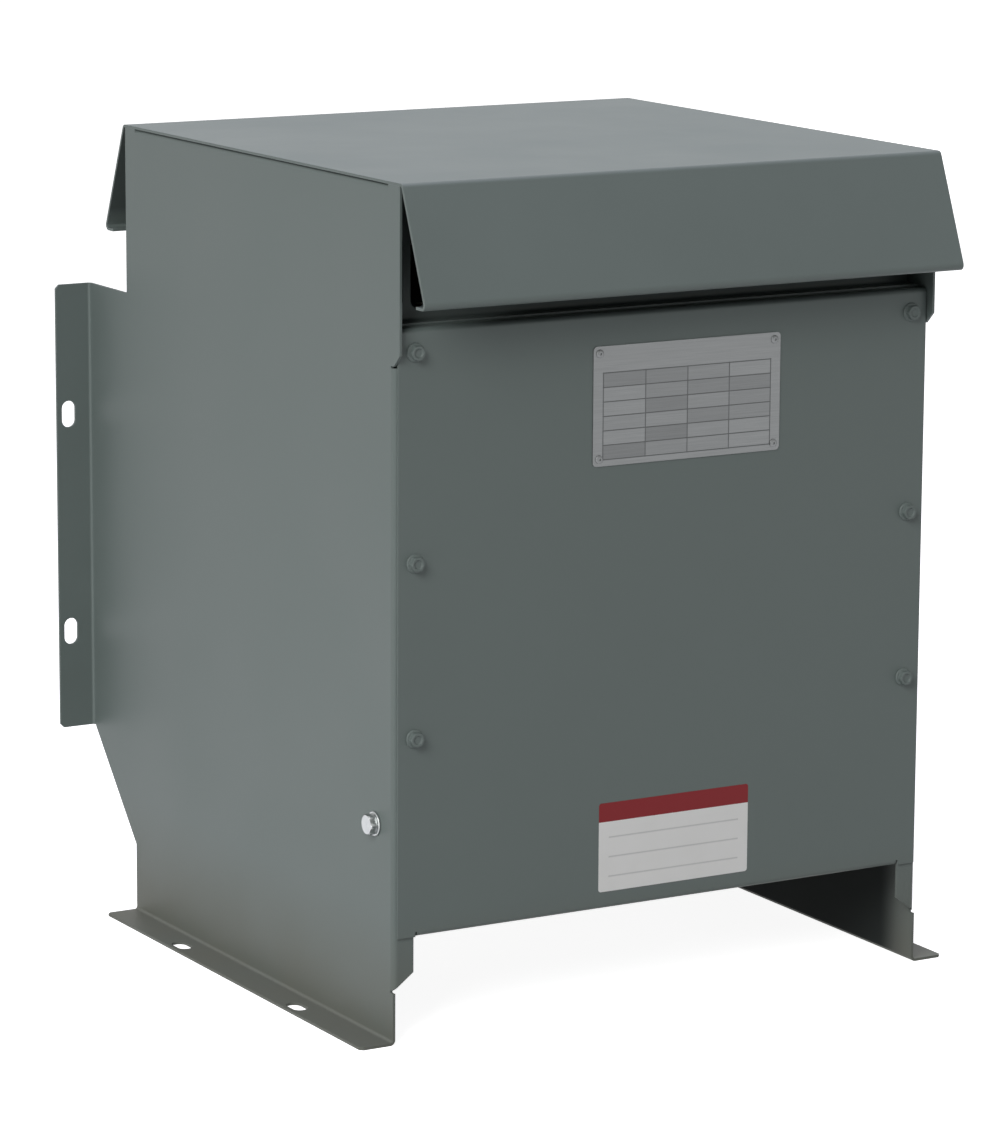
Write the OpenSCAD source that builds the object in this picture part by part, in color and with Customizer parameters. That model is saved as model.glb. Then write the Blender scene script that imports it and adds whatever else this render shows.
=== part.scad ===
// Small ventilated dry-type isolation transformer in a sheet-steel case.
// X runs left to right seen from the front, Y runs back towards the wall and Z runs up from the floor.
// The origin is on the floor, at the middle of the whole outline.

/* [Case] */
// Width over the two side sheets
case_w = 432; // [405:1:500]
// Depth from the front plane to the rear plane
case_d = 398; // [380:1:460]
// Height from the floor to the top of the cover
case_h = 592; // [575:1:680]
// Thickness of the side sheets and of the cover
side_t = 1.9; // [1.5:0.1:2.5]
// Thickness of the two panels and of the vent grilles
panel_t = 1.5; // [1:0.1:2]
// Inside radius of the bends in the sheet metal
bend_r = 2; // [1.5:0.5:3]

/* [Side sheets] */
// How far a side runs past the front and rear planes beside the hoods
ear_out = 8; // [5:0.5:12]
// Height at which the side starts to run forward
ear_z = 469; // [440:1:472]
// Rise of the slanted lower end of that strip
ear_rise = 8; // [2:1:12]
// Width of the front return that the front panel is screwed to
return_w = 32; // [26:1:40]
// Width of the front return below the panel
return_low_w = 16; // [12:1:20]
// Height of the lower end of the front return at the side sheet
return_z = 38; // [25:1:45]
// Rise of its slanted lower end
return_rise = 12; // [6:1:16]
// Width of the inward flange under the cover
top_flange_w = 24; // [18:1:32]
// Distance of that flange's ends from the front and rear planes
top_flange_inset = 8; // [4:1:14]
// Height of the top of the return's screw lug
lug_z = 482; // [476:1:483]
// Slit left at the end of a bend
relief = 1.5; // [1:0.5:3]

/* [Feet] */
// Width of the outward foot flange
foot_w = 25; // [23:1:40]
// Distance of the foot slots from the side sheet
foot_slot_x = 16; // [14:0.5:17]
// Distance of the front foot slot behind the front plane
foot_slot_y = 110; // [60:1:130]
// Distance between the two foot slots of a side
foot_slot_pitch = 180; // [140:1:200]

/* [Wall brackets] */
// Distance from the side's rear edge to the wall
wall_gap = 65; // [55:1:100]
// Width of the outward wall flange
wall_flange_w = 28; // [26:1:40]
// Height of the bracket's lower edge
bracket_z = 130; // [110:1:160]
// Height of the bracket's upper edge
bracket_top_z = 468; // [420:1:470]
// Height at which the slanted edge under the bracket starts
heel_z = 52; // [30:1:70]
// Distance of the wall slots from the side sheet
wall_slot_x = 18.5; // [16:0.5:19]
// Height of the lower wall slot
wall_slot_z = 204; // [170:1:220]
// Distance between the two wall slots of a side
wall_slot_pitch = 166; // [140:1:180]

/* [Mounting slots] */
// Width of a mounting slot
slot_w = 11; // [8:0.5:12]
// Length of a mounting slot, end to end
slot_l = 20; // [16:0.5:26]

/* [Panels] */
// Height of the lower edge of both panels
panel_z = 75; // [66:1:78]
// Height of the upper edge of both panels
panel_top_z = 494; // [486:1:500]
// Gap between a panel's end and the side sheet
panel_gap = 0.7; // [0.4:0.1:1]
// Depth of the sill along the upper edge
sill_w = 26; // [22:1:34]
// Depth of the return along the lower edge
panel_return_w = 15; // [10:1:22]
// Depth of the rear panel's end flanges
panel_end_w = 18; // [12:1:26]

/* [Cover] */
// How far a hood reaches out past the side's edge
hood_out = 34; // [30:1:52]
// Height of a hood from the cover's top to its lip
hood_drop = 81; // [65:1:90]
// Depth of the lip along the hood's lower edge
lip_w = 8; // [6:1:12]
// Clearance between the side's front and rear edges and the cover's bends
cover_clear = 0.5; // [0.5:0.5:3]

/* [Vent grilles] */
// Width of a vent slot
vent_w = 11; // [6:0.5:12]
// Height of a vent slot, end to end
vent_l = 50; // [30:1:60]
// Number of vent slots side by side
vent_slots = 25; // [14:1:26]
// Solid border below the vent slots and beside them
vent_border = 6; // [5:1:14]
// Depth of the grille's flanges
grille_flange_w = 14; // [10:1:16]

/* [Nameplate] */
// Width of the plate
plate_w = 152; // [90:1:180]
// Height of the plate
plate_h = 83; // [50:1:100]
// Thickness of the plate
plate_t = 0.8; // [0.5:0.1:1.5]
// Distance of its middle to the right of the case's middle
plate_x = 14; // [-40:1:40]
// Height of its middle
plate_z = 430; // [300:1:430]
// Radius of its corners
plate_r = 3; // [1:0.5:6]
// Distance of the rivet holes from its edges
rivet_in = 5; // [4:0.5:8]
// Diameter of the rivet holes
rivet_d = 3; // [2:0.1:4]

/* [Core] */
// Width of a limb
limb_w = 54; // [46:1:58]
// Height of a yoke
yoke_h = 54; // [50:1:58]
// Height of a window
window_h = 216; // [180:1:220]
// Depth of the stack of laminations
stack_d = 90; // [70:1:100]
// Distance of the core's middle behind the middle of the case
core_back = 14; // [0:1:24]

/* [Windings] */
// Clearance between the outer windings and the side sheets
side_clear = 20; // [14:1:28]
// Clearance between the windings of two limbs
phase_clear = 8; // [6:1:16]
// Clearance between a limb and the inner winding
limb_gap = 3; // [2:0.5:4]
// Width of the air duct between the windings
duct_w = 6; // [4:0.5:7]
// Radius of the inner winding's inside corners
winding_r = 4; // [2:0.5:8]
// Height of the blocks above and below the windings
block_h = 8; // [5:0.5:14]
// Width of those blocks
block_w = 14; // [8:1:20]
// Width of a duct stick
stick_w = 8; // [5:0.5:10]
// Distance between the duct sticks of one side
stick_pitch = 30; // [18:1:32]

/* [Core clamps] */
// Thickness of the clamp angles
clamp_t = 4; // [3:0.5:5]
// Height of the upright leg
clamp_h = 48; // [42:1:50]
// Width of the level leg
clamp_leg = 44; // [38:1:48]
// How far a clamp runs past the end of the core
clamp_over = 16; // [13:1:18]
// Diameter of the clamp bolts
clamp_bolt_d = 10; // [6:1:10]
// Clearance of a clamp bolt in its holes
bolt_gap = 0.5; // [0.2:0.1:1]

/* [Rails and pads] */
// Height of the rails' lower edge
rail_z = 80; // [79:1:88]
// Height of a rail
rail_h = 40; // [30:1:46]
// Width of a rail
rail_w = 36; // [32:1:40]
// Thickness of the rails
rail_t = 2.7; // [2:0.1:4]
// Diameter of a rubber pad
pad_d = 32; // [20:1:32]
// Height of a rubber pad
pad_h = 10; // [6:1:16]
// Distance of the pads from the middle of the case
pad_x = 120; // [80:1:140]

/* [Terminals] */
// Length of the terminal board
board_w = 300; // [280:1:320]
// Depth of the terminal board
board_d = 38; // [32:1:40]
// Thickness of the terminal board
board_t = 9; // [6:1:12]
// Number of terminals
terminals = 6; // [4:1:7]
// Distance between terminals
terminal_pitch = 46; // [36:1:46]
// Diameter of a terminal stud
stud_d = 8; // [5:1:10]
// Length of a stud above the board
stud_h = 24; // [18:1:30]

/* [Hidden] */
$fn = 36;
bend_steps = 8;
vent_steps = 16;

// Planes of the case
side_x = case_w / 2;
front_y = -(case_d + wall_gap - hood_out) / 2;
rear_y = front_y + case_d;
wall_y = rear_y + ear_out + wall_gap;
cover_z = case_h - side_t;
side_bend = bend_r + side_t;
panel_bend = bend_r + panel_t;

// Windings and core: three windings side by side, and what is left of each goes round its limb
coil_w = (case_w - 2 * (side_t + side_clear + phase_clear)) / 3;
winding_build = ((coil_w - limb_w) / 2 - limb_gap - duct_w) / 2;
window_w = coil_w + phase_clear - limb_w;
duct_gap = limb_gap + winding_build;
outer_gap = duct_gap + duct_w;
ring_w = outer_gap + winding_build - limb_gap;

// Levels from the floor up
clamp_z = rail_z + rail_h + pad_h;
core_h = window_h + 2 * yoke_h;
core_z = clamp_z;
winding_z = core_z + yoke_h + block_h;
winding_h = window_h - 2 * block_h;
core_top_z = core_z + core_h;

// Places of the core and what stands round it
core_y = (front_y + rear_y) / 2 + core_back;
core_w = 3 * limb_w + 2 * window_w;
limb_pitch = limb_w + window_w;
clamp_w = core_w + 2 * clamp_over;
clamp_bolt_x = core_w / 2 + clamp_over / 2;
clamp_mid = clamp_h / 2 + clamp_t / 2;
rail_off = stack_d / 2 + clamp_leg / 2;

paint = "#6b7572";
steel = "#9a9ea0";
lamination = "#55585c";
varnish = "#6e4a2a";
glass_board = "#8e3b2c";
rubber = "#202224";
fibre = "#b99d6b";

// ---- Sheet-metal shapes -------------------------------------------------------------------------

// Points along an arc round a pin, from one angle to another
function arc(pin, r, from, to) = [
    for (k = [0 : bend_steps]) let (a = from + (to - from) * k / bend_steps) pin + r * [cos(a), sin(a)]
];

// Angle from each pin to the next
function headings(pins) = [
    for (i = [0 : len(pins) - 2]) let (run = pins[i + 1] - pins[i]) atan2(run.y, run.x)
];

// One face of a sheet laid round pins that all turn it to the right, r away from them
function sheet_face(pins, r) = let (heading = headings(pins), last = len(pins) - 1) [
    pins[0] + r * [-sin(heading[0]), cos(heading[0])],
    for (i = [1 : last - 1])
        let (before = heading[i - 1] + 90, turn = (heading[i - 1] - heading[i] + 360) % 360)
            each arc(pins[i], r, before, before - turn),
    pins[last] + r * [-sin(heading[last - 1]), cos(heading[last - 1])]
];

// Outline of such a sheet, from its inner face to its outer face
module sheet_round(pins, gauge, r_in) {
    inner = sheet_face(pins, r_in);
    outer = sheet_face(pins, r_in + gauge);
    polygon(concat(outer, [for (i = [len(inner) - 1 : -1 : 0]) inner[i]]));
}

// Right-angled bend of the side sheet along Z, from the X direction round to the Y direction
module quarter_bend(length)
    rotate_extrude(angle = 90) translate([bend_r, 0]) square([side_t, length]);

// Extrudes an outline drawn in Y and Z along X, about the middle of the case
module across(length)
    translate([-length / 2, 0, 0]) rotate([90, 0, 90]) linear_extrude(length) children();

// Round-ended slot along Y
module slot(width, length) {
    straight = length - width;
    square([width, straight], center = true);
    for (end = [-1, 1]) translate([0, end * straight / 2]) circle(d = width);
}

// Rectangle with round corners, in the middle
module round_rect(width, height, r) {
    square([width - 2 * r, height], center = true);
    square([width, height - 2 * r], center = true);
    for (x = [-1, 1], y = [-1, 1])
        translate([x * (width / 2 - r), y * (height / 2 - r)]) circle(r);
}

// ---- Case ---------------------------------------------------------------------------------------

// Flat web of the left side, drawn in Y and Z with Y from the front plane
module side_web() {
    top_a = top_flange_inset;
    top_b = case_d - top_flange_inset;
    tab_y = case_d + ear_out + wall_gap - side_bend;
    polygon([
        [0, side_bend], [0, return_z - relief], [side_bend, return_z - relief],
        [side_bend, ear_z], [0, ear_z], [-ear_out, ear_z + ear_rise], [-ear_out, cover_z],
        [top_a, cover_z], [top_a, cover_z - side_bend], [top_b, cover_z - side_bend], [top_b, cover_z],
        [case_d + ear_out, cover_z], [case_d + ear_out, bracket_top_z], [tab_y, bracket_top_z],
        [tab_y, bracket_z], [case_d, heel_z], [case_d, side_bend]
    ]);
}

// Front return with its bend: wide behind the panel with a lug for the upper screw, narrow and
// slanted off below it
module front_return() {
    top = ear_z - relief;
    step_z = panel_z + panel_bend + relief;
    difference() {
        union() {
            translate([side_bend, side_bend, return_z]) rotate(180) quarter_bend(top - return_z);
            translate([side_bend, 0, return_z]) cube([return_low_w - side_bend, side_t, top - return_z]);
            translate([side_bend, 0, step_z]) cube([return_w - side_bend, side_t, top - step_z]);
            translate([side_bend + relief, 0, top])
                cube([return_w - side_bend - relief, side_t, lug_z - top]);
        }
        translate([0, side_bend, 0]) rotate([90, 0, 0]) linear_extrude(2 * side_bend)
            polygon([[-1, 0], [-1, return_z], [0, return_z], [return_low_w, return_z + return_rise],
                [return_low_w + 1, return_z + return_rise], [return_low_w + 1, 0]]);
    }
}

// Outward flange with two slots, laid flat: it runs along Y, and X is the distance from the side sheet
module slotted_flange(width, length, slot_x, first, pitch) {
    corner = (width - bend_r) / 9;
    linear_extrude(side_t) difference() {
        polygon([[bend_r, 0], [width - corner, 0], [width, corner],
            [width, length - corner], [width - corner, length], [bend_r, length]]);
        for (i = [0, 1]) translate([slot_x, first + i * pitch]) slot(slot_w, slot_l);
    }
}

// Left side: one sheet, cut to outline and bent four times
module side_sheet() color(paint) translate([-side_x, front_y, 0]) {
    top_len = case_d - 2 * top_flange_inset;
    bracket_h = bracket_top_z - bracket_z;
    union() {
        rotate([90, 0, 90]) linear_extrude(side_t) side_web();
        front_return();
        // inward flange under the cover
        translate([side_bend, top_flange_inset, cover_z - side_bend])
            rotate([-90, 0, 0]) rotate(180) quarter_bend(top_len);
        translate([side_bend, top_flange_inset, cover_z - side_t])
            cube([top_flange_w - side_bend, top_len, side_t]);
        // outward foot flange
        translate([-bend_r, 0, side_bend]) rotate([-90, 0, 0]) quarter_bend(case_d);
        mirror([1, 0, 0]) slotted_flange(foot_w, case_d, foot_slot_x, foot_slot_y, foot_slot_pitch);
        // outward wall flange
        translate([-bend_r, wall_y - front_y - side_bend, bracket_z]) quarter_bend(bracket_h);
        translate([0, wall_y - front_y, bracket_z]) rotate([90, 0, 0]) mirror([1, 0, 0])
            slotted_flange(wall_flange_w, bracket_h, wall_slot_x, wall_slot_z - bracket_z, wall_slot_pitch);
    }
}

module left_side() side_sheet();
module right_side() mirror([1, 0, 0]) side_sheet();

// Upright outline of a panel with a sill on top and a return below; Y is measured from its outer face
module panel_outline() {
    low = panel_z + panel_bend;
    high = panel_top_z - panel_bend;
    pins = [[panel_return_w, low], [panel_bend, low], [panel_bend, high], [sill_w, high]];
    sheet_round(pins, panel_t, bend_r);
}

// Front panel: laid on the side returns, its lower return shortened to pass between them
module front_panel() color(paint) translate([0, front_y - panel_t, 0]) {
    full = case_w - 2 * (side_t + panel_gap);
    between = case_w - 2 * (return_low_w + panel_gap);
    low = panel_z + panel_bend;
    union() {
        intersection() {
            across(full) panel_outline();
            translate([-full / 2, 0, low]) cube([full, sill_w, panel_top_z - low]);
        }
        across(between - 2 * relief) panel_outline();
        for (end = [-1, 1]) translate([end * (full + between) / 4, panel_t / 2, panel_z + panel_bend / 2])
            cube([(full - between) / 2, panel_t, panel_bend], center = true);
    }
}

// Rear panel: a shallow pan whose end flanges lie against the side sheets
module rear_panel() color(paint) {
    half = side_x - side_t;
    end_y = rear_y - panel_end_w;
    pin_x = half - panel_bend;
    pin_y = rear_y - panel_bend;
    flat_w = 2 * (pin_x - relief);
    low = panel_z + panel_bend;
    high = panel_top_z - panel_bend;
    union() {
        translate([0, 0, low]) linear_extrude(high - low)
            sheet_round([[-pin_x, end_y], [-pin_x, pin_y], [pin_x, pin_y], [pin_x, end_y]], panel_t, bend_r);
        translate([0, rear_y, 0]) mirror([0, 1, 0]) across(flat_w) panel_outline();
    }
}

// Cover: one sheet over both hoods, each hood ending in a level lip
module top_cover() color(paint) {
    high = case_h - side_bend;
    low = case_h - hood_drop + side_bend;
    edge = case_d / 2 + ear_out;
    bend = edge + cover_clear;
    tip = edge + hood_out - side_bend;
    translate([0, (front_y + rear_y) / 2, 0]) across(case_w) sheet_round([
        [lip_w - tip, low], [-tip, low], [-bend, high], [bend, high], [tip, low], [tip - lip_w, low]
    ], side_t, bend_r);
}

// Vent grille: a slotted channel that stands on the front panel's sill, under the side's top flanges
module vent_grille() color(paint) {
    length = case_w - 2 * (side_t + panel_gap);
    base = panel_top_z;
    top = cover_z - side_t;
    back = sill_w - panel_t;
    low = base + panel_bend;
    high = top - panel_bend;
    slots_w = length - 2 * vent_border - vent_w;
    difference() {
        across(length) sheet_round([
            [back - grille_flange_w, high], [back - panel_bend, high],
            [back - panel_bend, low], [back - grille_flange_w, low]
        ], panel_t, bend_r);
        for (i = [0 : vent_slots - 1])
            translate([(i / (vent_slots - 1) - 1 / 2) * slots_w, back + 1, low + vent_border + vent_l / 2])
                rotate([90, 0, 0]) linear_extrude(panel_t + 2) slot(vent_w, vent_l, $fn = vent_steps);
    }
}

module front_vent_grille() translate([0, front_y, 0]) vent_grille();
module rear_vent_grille() translate([0, rear_y - panel_t, 0]) mirror([0, 1, 0]) vent_grille();

// Nameplate: a bare sheet riveted to the front panel
module nameplate() color(steel)
    translate([plate_x, front_y - panel_t, plate_z]) rotate([90, 0, 0]) linear_extrude(plate_t)
        difference() {
            round_rect(plate_w, plate_h, plate_r);
            for (x = [-1, 1], z = [-1, 1])
                translate([x * (plate_w / 2 - rivet_in), z * (plate_h / 2 - rivet_in)]) circle(d = rivet_d);
        }

// ---- Core support -------------------------------------------------------------------------------

// Rail: a channel across the case, open towards the middle and welded to both sides
module rail() color(paint) {
    pin = bend_r + rail_t;
    low = rail_z + pin;
    high = rail_z + rail_h - pin;
    across(case_w - 2 * side_t)
        sheet_round([[rail_w, low], [pin, low], [pin, high], [rail_w, high]], rail_t, bend_r);
}

module front_rail() translate([0, core_y - rail_off - rail_w / 2, 0]) rail();
module rear_rail() translate([0, core_y + rail_off + rail_w / 2, 0]) mirror([0, 1, 0]) rail();

// Rubber pads between the rails and the lower clamps
module rubber_pads() color(rubber)
    for (x = [-1, 1], y = [-1, 1])
        translate([x * pad_x, core_y + y * rail_off, rail_z + rail_h]) cylinder(d = pad_d, h = pad_h);

// ---- Core and clamps ----------------------------------------------------------------------------

// Lower yoke with the three limbs, a stack of E-shaped laminations
module core_lower() color(lamination)
    translate([0, core_y + stack_d / 2, core_z]) rotate([90, 0, 0]) linear_extrude(stack_d) {
        translate([-core_w / 2, 0]) square([core_w, yoke_h]);
        for (i = [-1 : 1]) translate([i * limb_pitch - limb_w / 2, 0]) square([limb_w, yoke_h + window_h]);
    }

// Upper yoke, a stack of straight laminations
module core_upper_yoke() color(lamination)
    translate([-core_w / 2, core_y - stack_d / 2, core_z + yoke_h + window_h])
        cube([core_w, stack_d, yoke_h]);

// Front clamp angle: upright leg against the yoke, level leg outwards below, bored for its two bolts
module clamp_angle() color(paint) {
    pin = bend_r + clamp_t;
    difference() {
        translate([0, -stack_d / 2, 0]) mirror([0, 1, 0]) across(clamp_w)
            sheet_round([[clamp_leg, pin], [pin, pin], [pin, clamp_h]], clamp_t, bend_r);
        for (end = [-1, 1]) translate([end * clamp_bolt_x, -stack_d / 2 + 1, clamp_mid])
            rotate([90, 0, 0]) cylinder(d = clamp_bolt_d + bolt_gap, h = clamp_t + 2);
    }
}

module lower_front_clamp() translate([0, core_y, clamp_z]) clamp_angle();
module lower_rear_clamp() translate([0, core_y, clamp_z]) mirror([0, 1, 0]) clamp_angle();
module upper_front_clamp() translate([0, core_y, core_top_z]) mirror([0, 0, 1]) clamp_angle();
module upper_rear_clamp()
    translate([0, core_y, core_top_z]) mirror([0, 0, 1]) mirror([0, 1, 0]) clamp_angle();

// Pair of bolts through a front and a rear clamp, past the ends of the core
module clamp_bolts() color(steel) {
    grip = stack_d + 2 * clamp_t;
    head_h = 0.65 * clamp_bolt_d;
    head_d = 1.85 * clamp_bolt_d;
    for (end = [-1, 1]) translate([end * clamp_bolt_x, 0, clamp_mid]) rotate([90, 0, 0]) {
        cylinder(d = clamp_bolt_d, h = grip, center = true);
        for (side = [-1, 1]) translate([0, 0, side * (grip + head_h) / 2])
            cylinder(d = head_d, h = head_h, center = true, $fn = 6);
    }
}

module lower_clamp_bolts() translate([0, core_y, clamp_z]) clamp_bolts();
module upper_clamp_bolts() translate([0, core_y, core_top_z]) mirror([0, 0, 1]) clamp_bolts();

// ---- Windings -----------------------------------------------------------------------------------

// Outline of a winding's face at a distance from the limb
module winding_face(gap)
    round_rect(limb_w + 2 * gap, stack_d + 2 * gap, winding_r + gap - limb_gap);

// Winding round a limb: gap is the distance of its inner face from the limb
module winding(i, gap)
    translate([i * limb_pitch, core_y, winding_z]) linear_extrude(winding_h) difference() {
        winding_face(gap + winding_build);
        winding_face(gap);
    }

module inner_winding(i) color(fibre) winding(i, limb_gap);
module outer_winding(i) color(varnish) winding(i, outer_gap);

// Upright sticks that keep the air duct open: two on each of the four sides
module duct_sticks(i) color(fibre) {
    mid = duct_gap + duct_w / 2;
    translate([i * limb_pitch, core_y, winding_z + winding_h / 2]) for (side = [-1, 1], end = [-1, 1]) {
        translate([side * (limb_w / 2 + mid), end * stick_pitch / 2, 0])
            cube([duct_w, stick_w, winding_h], center = true);
        translate([end * stick_pitch / 2, side * (stack_d / 2 + mid), 0])
            cube([stick_w, duct_w, winding_h], center = true);
    }
}

module left_inner_winding() inner_winding(-1);
module middle_inner_winding() inner_winding(0);
module right_inner_winding() inner_winding(1);
module left_outer_winding() outer_winding(-1);
module middle_outer_winding() outer_winding(0);
module right_outer_winding() outer_winding(1);
module left_duct_sticks() duct_sticks(-1);
module middle_duct_sticks() duct_sticks(0);
module right_duct_sticks() duct_sticks(1);

// Insulating bars in the windows that carry and hold down the windings
module coil_blocks(z) color(glass_board) {
    length = stack_d + 2 * (limb_gap + ring_w);
    for (i = [-1 : 1], side = [-1, 1]) if (abs(i + side) < 2)
        translate([i * limb_pitch + side * (limb_w / 2 + limb_gap + ring_w / 2), core_y, z + block_h / 2])
            cube([block_w, length, block_h], center = true);
}

module lower_coil_blocks() coil_blocks(winding_z - block_h);
module upper_coil_blocks() coil_blocks(winding_z + winding_h);

// ---- Terminals ----------------------------------------------------------------------------------

board_y = core_y - stack_d / 2 - clamp_leg + board_d / 2;

// Places of the studs along the board
module at_terminals()
    for (i = [0 : terminals - 1])
        translate([(i - (terminals - 1) / 2) * terminal_pitch, board_y, core_top_z]) children();

// Insulating board on the upper front clamp's level leg, bored for the studs
module terminal_board() color(glass_board) difference() {
    translate([0, board_y, core_top_z + board_t / 2]) cube([board_w, board_d, board_t], center = true);
    at_terminals() cylinder(d = stud_d, h = 3 * board_t, center = true);
}

// Studs with a nut that seats on the board
module terminal_studs() color(steel) at_terminals() {
    cylinder(d = stud_d, h = board_t + stud_h);
    translate([0, 0, board_t]) cylinder(d = 1.9 * stud_d, h = 0.8 * stud_d, $fn = 6);
}

// ---- Parts --------------------------------------------------------------------------------------

left_side();
right_side();
front_panel();
rear_panel();
top_cover();
front_vent_grille();
rear_vent_grille();
nameplate();
front_rail();
rear_rail();
rubber_pads();
core_lower();
core_upper_yoke();
lower_front_clamp();
lower_rear_clamp();
upper_front_clamp();
upper_rear_clamp();
lower_clamp_bolts();
upper_clamp_bolts();
left_inner_winding();
middle_inner_winding();
right_inner_winding();
left_outer_winding();
middle_outer_winding();
right_outer_winding();
left_duct_sticks();
middle_duct_sticks();
right_duct_sticks();
lower_coil_blocks();
upper_coil_blocks();
terminal_board();
terminal_studs();
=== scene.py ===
import math

import bpy
from mathutils import Matrix, Vector


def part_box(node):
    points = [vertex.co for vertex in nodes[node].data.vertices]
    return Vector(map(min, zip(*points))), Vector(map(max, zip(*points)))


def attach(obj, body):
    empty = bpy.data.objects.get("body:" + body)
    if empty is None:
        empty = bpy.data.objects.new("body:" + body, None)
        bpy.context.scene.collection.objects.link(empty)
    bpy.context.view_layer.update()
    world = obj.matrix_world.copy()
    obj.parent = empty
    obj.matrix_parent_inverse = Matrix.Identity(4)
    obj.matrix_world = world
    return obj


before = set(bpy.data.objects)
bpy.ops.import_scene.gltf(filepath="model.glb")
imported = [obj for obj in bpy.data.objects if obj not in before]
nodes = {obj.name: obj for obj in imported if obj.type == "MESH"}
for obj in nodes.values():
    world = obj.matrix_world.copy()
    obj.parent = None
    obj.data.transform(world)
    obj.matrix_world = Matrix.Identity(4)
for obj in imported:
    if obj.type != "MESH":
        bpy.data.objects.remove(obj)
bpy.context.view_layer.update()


# ---- Side sheets --------------------------------------------------------------------------------
# Two mirrored sheets of 1.9 mm steel, each blanked and then bent into a front return, a top flange,
# a foot and a wall flange. They are powder coated after bending and welding.


def linear(hex_colour):
    """Linear colour of an sRGB hex value, with full alpha."""
    shares = [int(hex_colour[i : i + 2], 16) / 255 for i in (1, 3, 5)]
    return [s / 12.92 if s <= 0.04045 else ((s + 0.055) / 1.055) ** 2.4 for s in shares] + [1]


def new_material(name):
    """An empty material and its node tree."""
    material = bpy.data.materials.new(name)
    material.use_nodes = True
    material.node_tree.nodes.clear()
    return material, material.node_tree


def add_node(tree, kind, inputs=None, **settings):
    """Adds a node with its settings. An input is a value, or another node's output to link."""
    made = tree.nodes.new(kind)
    for name, value in settings.items():
        setattr(made, name, value)
    for name, value in (inputs or {}).items():
        if isinstance(value, bpy.types.NodeSocket):
            tree.links.new(value, made.inputs[name])
        else:
            made.inputs[name].default_value = value
    return made


def coat(material, *names):
    """Gives CAD nodes this material."""
    for name in names:
        for held in nodes[name].material_slots:
            held.material = material


# Polyester powder coat in machine grey, sprayed and baked. Satin, with a faint orange peel about
# 2.5 mm across, paler on the cut edges (a thinner coat and a painted highlight), and darker, browner and
# less glossy just above the floor.
# Inside the case, and less up under a hood, the coat is painted darker and given less reflection,
# as painted shade: from the openings inwards it darkens over a short run.
# The painted shade starts within the thickness of the sheets, so that no outer face gets it: this far
# into the side sheets, and this far behind the outer faces of the two panels and the cover.
side_skin, front_skin, rear_skin, top_skin = 0.0002, 0.0030, 0.0013, 0.0017
# how far inwards from the openings the painted shade takes to reach full strength
shade_run = 0.040
# painted shade under the hoods: starts this high above the hood's lip, fades in over this height, up to
# this share
lip_height, hood_fade, hood_share = 0.005, 0.012, 0.60
inside_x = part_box("front_rail")[1].x + side_skin
inside_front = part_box("front_panel")[0].y + front_skin
inside_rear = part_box("rear_panel")[1].y - rear_skin
inside_half = (inside_rear - inside_front) / 2
inside_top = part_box("top_cover")[1].z - top_skin
lip_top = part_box("top_cover")[0].z + lip_height
powder_coat, tree = new_material("powder_coated_steel")
spot = add_node(tree, "ShaderNodeTexCoord")
shape = add_node(tree, "ShaderNodeNewGeometry")
cloud = add_node(tree, "ShaderNodeTexNoise",
                 {"Vector": spot.outputs["Object"], "Scale": 1 / 0.110, "Detail": 3.0,
                  "Roughness": 0.55})
tone = add_node(tree, "ShaderNodeMix",
                {0: cloud.outputs["Fac"], 6: linear("#606a67"), 7: linear("#6a7471")}, data_type="RGBA")
rounded = add_node(tree, "ShaderNodeBevel", {"Radius": 0.0007}, samples=4)
facing = add_node(tree, "ShaderNodeVectorMath",
                  {0: rounded.outputs["Normal"], 1: shape.outputs["Normal"]}, operation="DOT_PRODUCT")
# paler along the edges: partly a thinner coat there, partly a painted highlight
edge = add_node(tree, "ShaderNodeMapRange",
                {"Value": facing.outputs["Value"], "From Min": 0.99, "From Max": 0.75,
                 "To Max": 0.30})
thin_edge_and_highlight = add_node(tree, "ShaderNodeMix",
                {0: edge.outputs["Result"], 6: tone.outputs[2], 7: linear("#8d9592")}, data_type="RGBA")
level = add_node(tree, "ShaderNodeSeparateXYZ", {"Vector": spot.outputs["Object"]})
inside_wide = add_node(tree, "ShaderNodeMath",
                       {0: level.outputs["X"], 1: 0.0, 2: inside_x}, operation="COMPARE")
inside_off = add_node(tree, "ShaderNodeMath",
                      {0: level.outputs["Y"], 1: (inside_front + inside_rear) / 2}, operation="SUBTRACT")
inside_far = add_node(tree, "ShaderNodeMath",
                      {0: inside_off.outputs["Value"]}, operation="ABSOLUTE")
inside_deep = add_node(tree, "ShaderNodeMapRange",
                       {"Value": inside_far.outputs["Value"], "From Min": inside_half,
                        "From Max": inside_half - shade_run}, interpolation_type="SMOOTHSTEP")
inside_high = add_node(tree, "ShaderNodeMath",
                       {0: level.outputs["Z"], 1: inside_top}, operation="LESS_THAN")
inside_flat = add_node(tree, "ShaderNodeMath",
                       {0: inside_wide.outputs["Value"], 1: inside_deep.outputs["Result"]},
                       operation="MULTIPLY")
inside = add_node(tree, "ShaderNodeMath",
                  {0: inside_flat.outputs["Value"], 1: inside_high.outputs["Value"]}, operation="MULTIPLY")
slope = add_node(tree, "ShaderNodeSeparateXYZ", {"Vector": shape.outputs["Normal"]})
hood_down = add_node(tree, "ShaderNodeMath", {0: slope.outputs["Z"], 1: -0.2}, operation="LESS_THAN")
hood_high = add_node(tree, "ShaderNodeMapRange",
                     {"Value": level.outputs["Z"], "From Min": lip_top,
                      "From Max": lip_top + hood_fade, "To Max": hood_share})
hooded = add_node(tree, "ShaderNodeMath",
                  {0: hood_down.outputs["Value"], 1: hood_high.outputs["Result"]}, operation="MULTIPLY")
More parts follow.
